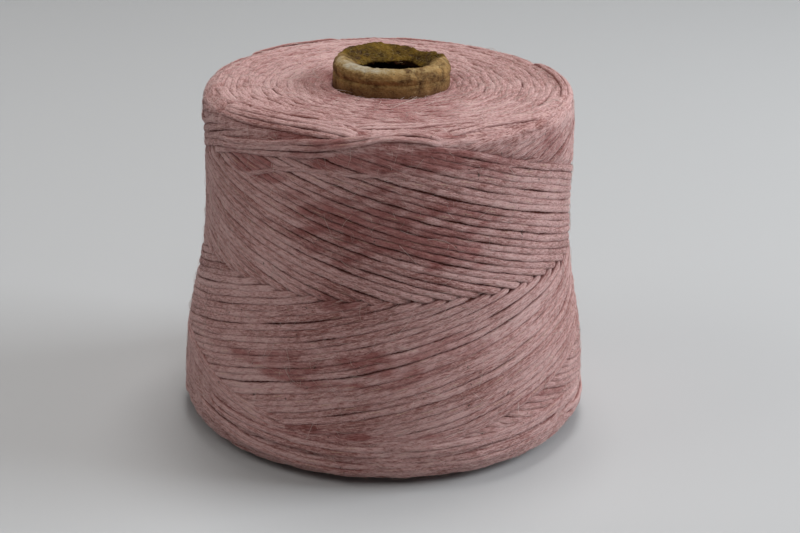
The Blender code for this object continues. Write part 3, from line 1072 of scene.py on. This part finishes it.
def core_material():
    """Old brown paper: mottled wall, a pale scuffed crest, and straw-coloured torn fibres behind; painted
    shade in the bore, in the cracks and hollows, and where the tube meets the yarn.
    """
    made = Surface("brown_paper")
    here = made.object_place()
    scuff = made.attribute("scuff")
    torn = made.attribute("torn")
    bore = made.attribute("bore")
    crack = made.attribute("crack")
    mottle = made.noise(here, 210.0, 5.0, 0.65)
    grain = made.noise(made.stretched(here, (700.0, 700.0, 2600.0)), 1.0, 3.0, 0.6)
    speck = made.noise(here, 1300.0, 2.0, 0.5)
    height = made.add("ShaderNodeSeparateXYZ", {"Vector": here}).outputs["Z"]
    # Painted contact shade, tinted red, on the tube towards the yarn
    near_yarn = made.spread(height, TUBE_HEIGHT - CONTACT_SHADE_FULL, TUBE_HEIGHT - CONTACT_SHADE_BEGINS, 1.0, 0.0)
    tinted_and_shaded = made.sum(near_yarn, mottle, "MULTIPLY")
    pale = made.sum(scuff, made.spread(made.noise(here, 420.0, 4.0, 0.7), 0.3, 0.7, -0.40, 0.40))
    straws = [(mottle, 0.38, 0.64, 1.0, TORN_STRAW), (grain, 0.52, 0.80, 0.6, TORN_PALE)]
    layers = [
        (mottle, 0.34, 0.62, 1.0, BROWN_PAPER),
        (grain, 0.48, 0.80, 0.55, TAN_PAPER),
        (tinted_and_shaded, 0.0, 0.7, 1.0, CONTACT_SHADE_PAPER),
        (pale, 0.18, 0.62, 0.75, TAN_PAPER),
        (pale, 0.60, 1.15, 0.80, SCUFFED_PAPER),
        (torn, 0.25, 0.80, 1.0, made.layered(TORN_SHADE, straws)),
        (speck, 0.62, 0.72, 0.6, PAPER_SPECK),
        (bore, 0.10, 0.70, 1.0, BORE_SHADE),
        (crack, 0.25, 0.9, 0.85, CRACK_SHADE),
    ]
    made.set("Base Color", made.layered(DARK_PAPER, layers))
    made.set("Specular IOR Level", made.spread(bore, 0.0, 0.6, 0.15, 0.0))
    made.set("Roughness", made.spread(mottle, 0.3, 0.7, 0.92, 0.72))
    relief = made.sum(made.spread(grain, 0.2, 0.8, 0.0, 0.6), made.spread(speck, 0.3, 0.7, 0.0, 0.4))
    made.set("Normal", made.bump(relief, 0.00035, 0.9))
    return made.material


# ---- Stage, light and camera ----

FLOOR_RADIUS = 1.7
BOWL_RADIUS = 0.9
BOWL_HEIGHT = 2.6
FLOOR_GREY = (0.462, 0.458, 0.455, 1.0)
FLOOR_ROUGHNESS = 0.9


def make_stage():
    """A pale floor that curves up into a backdrop all round."""
    strips = Strips([])
    turn = np.linspace(0.0, TURN / 4.0, 24)
    radius = np.concatenate([[0.0, 0.5 * FLOOR_RADIUS], FLOOR_RADIUS + BOWL_RADIUS * np.sin(turn)])
    height = np.concatenate([[0.0, 0.0], BOWL_RADIUS * (1.0 - np.cos(turn))])
    radius = np.append(radius, FLOOR_RADIUS + BOWL_RADIUS)[:, None]
    height = np.append(height, BOWL_HEIGHT)[:, None]
    angle = np.linspace(0.0, TURN, 96, endpoint=False)[None, :]
    grid = turned(radius, angle, height)
    strips.add(grid, grid[..., :2], {}, closed=True)
    paper = Surface("studio_paper")
    paper.set("Base Color", FLOOR_GREY)
    paper.set("Roughness", FLOOR_ROUGHNESS)
    floor = strips.make("studio_floor", paper.material)


# Soft square lights: place and side in metres, power in watts
Light = namedtuple("Light", "name place size power colour")
LIGHTS = [
    Light("key_light", (0.10, 0.30, 1.6), 0.6, 13.8, (1.0, 1.0, 1.0)),
    Light("side_light", (1.4, 0.08, 0.75), 0.8, 22.5, (0.88, 0.945, 1.0)),
    Light("fill_light", (-1.2, -0.3, 1.1), 0.8, 4.2, (1.0, 0.985, 0.97)),
    Light("front_light", (0.1, -1.15, 1.5), 0.7, 5.7, (1.0, 1.0, 1.0)),
]
ROOM_LIGHT = 0.09


def add_light(name, place, size, power, colour):
    """A soft square light at a place, aimed at the middle of the package."""
    lamp = bpy.data.lights.new(name, "AREA")
    lamp.shape = "SQUARE"
    lamp.size = size
    lamp.energy = power
    lamp.color = colour
    made = bpy.data.objects.new(name, lamp)
    made.location = place
    aim = Vector((0.0, 0.0, 0.5 * PACKAGE_HEIGHT)) - Vector(place)
    made.rotation_euler = aim.to_track_quat("-Z", "Y").to_euler()
    bpy.context.scene.collection.objects.link(made)


def light_scene():
    for light in LIGHTS:
        add_light(*light)
    world = bpy.data.worlds.new("room")
    world.use_nodes = True
    background = world.node_tree.nodes["Background"]
    background.inputs["Color"].default_value = (1.0, 1.0, 1.0, 1.0)
    background.inputs["Strength"].default_value = ROOM_LIGHT
    bpy.context.scene.world = world
    bpy.context.scene.view_settings.view_transform = "Standard"


CAMERA_PLACE = (0.0, -0.643, 0.2996)
CAMERA_LENS = 84.2  # millimetres, as is the sensor's width
SENSOR_WIDTH = 36.0
CAMERA_PITCH = math.radians(20.9)
CAMERA_YAW = math.radians(0.47)
CAMERA_ROLL = math.radians(1.39)


def place_camera():
    """Looks down at the package from the front, turned a little so that it stands left of the middle."""
    lens = bpy.data.cameras.new("camera")
    lens.lens = CAMERA_LENS
    lens.sensor_width = SENSOR_WIDTH
    made = bpy.data.objects.new("camera", lens)
    turn = (
        Matrix.Rotation(-CAMERA_YAW, 4, "Z")
        @ Matrix.Rotation(math.pi / 2.0 - CAMERA_PITCH, 4, "X")
        @ Matrix.Rotation(CAMERA_ROLL, 4, "Z")
    )
    made.matrix_world = Matrix.Translation(CAMERA_PLACE) @ turn
    bpy.context.scene.collection.objects.link(made)
    bpy.context.scene.camera = made


# ---- The scene ----

END_MARGIN = 0.0010  # the rows of end turns stop this far from the tube and the shoulder
BASE_ROWS_ABOVE = 0.006  # they begin this far above the rounded foot
BEHIND_ABOVE = (-0.006, 0.008)  # slack turns round the back lie this far past the top edge
BEHIND_BELOW = (-0.008, 0.003)  # and the bottom edge


def dress(piece, node):
    """Attaches a piece to the root body, and hides the solid that it stands for."""
    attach(piece, "root")
    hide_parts(node)


def main():
    yarn = yarn_material()
    turns = wind_side(yarn)
    top_edge, foot_edge = outline.shoulder_end, outline.foot_begin
    turns.append(wind_end("top_turns", END_MARGIN, top_edge - END_MARGIN, 1.0, yarn))
    base_rows = (foot_edge - BASE_ROWS_ABOVE, outline.end - END_MARGIN)
    turns.append(wind_end("base_turns", *base_rows, -1.0, yarn))
    above = SLACK_ABOVE + slack_behind(*BEHIND_ABOVE)
    turns.append(wind_slack("slack_turns_above", above, top_edge, -1.0, yarn))
    below = SLACK_BELOW + slack_behind(*BEHIND_BELOW)
    turns.append(wind_slack("slack_turns_below", below, foot_edge, 1.0, yarn))
    turns.append(wind_underlay(underlay_material()))
    fibre = strand_material("stray_fibre", HAIR_SHADE, HAIR_PALE, 0.8, 0.65)
    turns.append(grow_hairs(fibre))
    for piece in turns:
        dress(piece, "yarn_package")
    paper_fibre = strand_material("torn_paper_fibre", SHRED_SHADE, SHRED_PALE, 0.85, 0.70)
    for piece in (make_core(core_material()), grow_shreds(paper_fibre)):
        dress(piece, "core_tube")
    make_stage()
    light_scene()
    place_camera()


main()
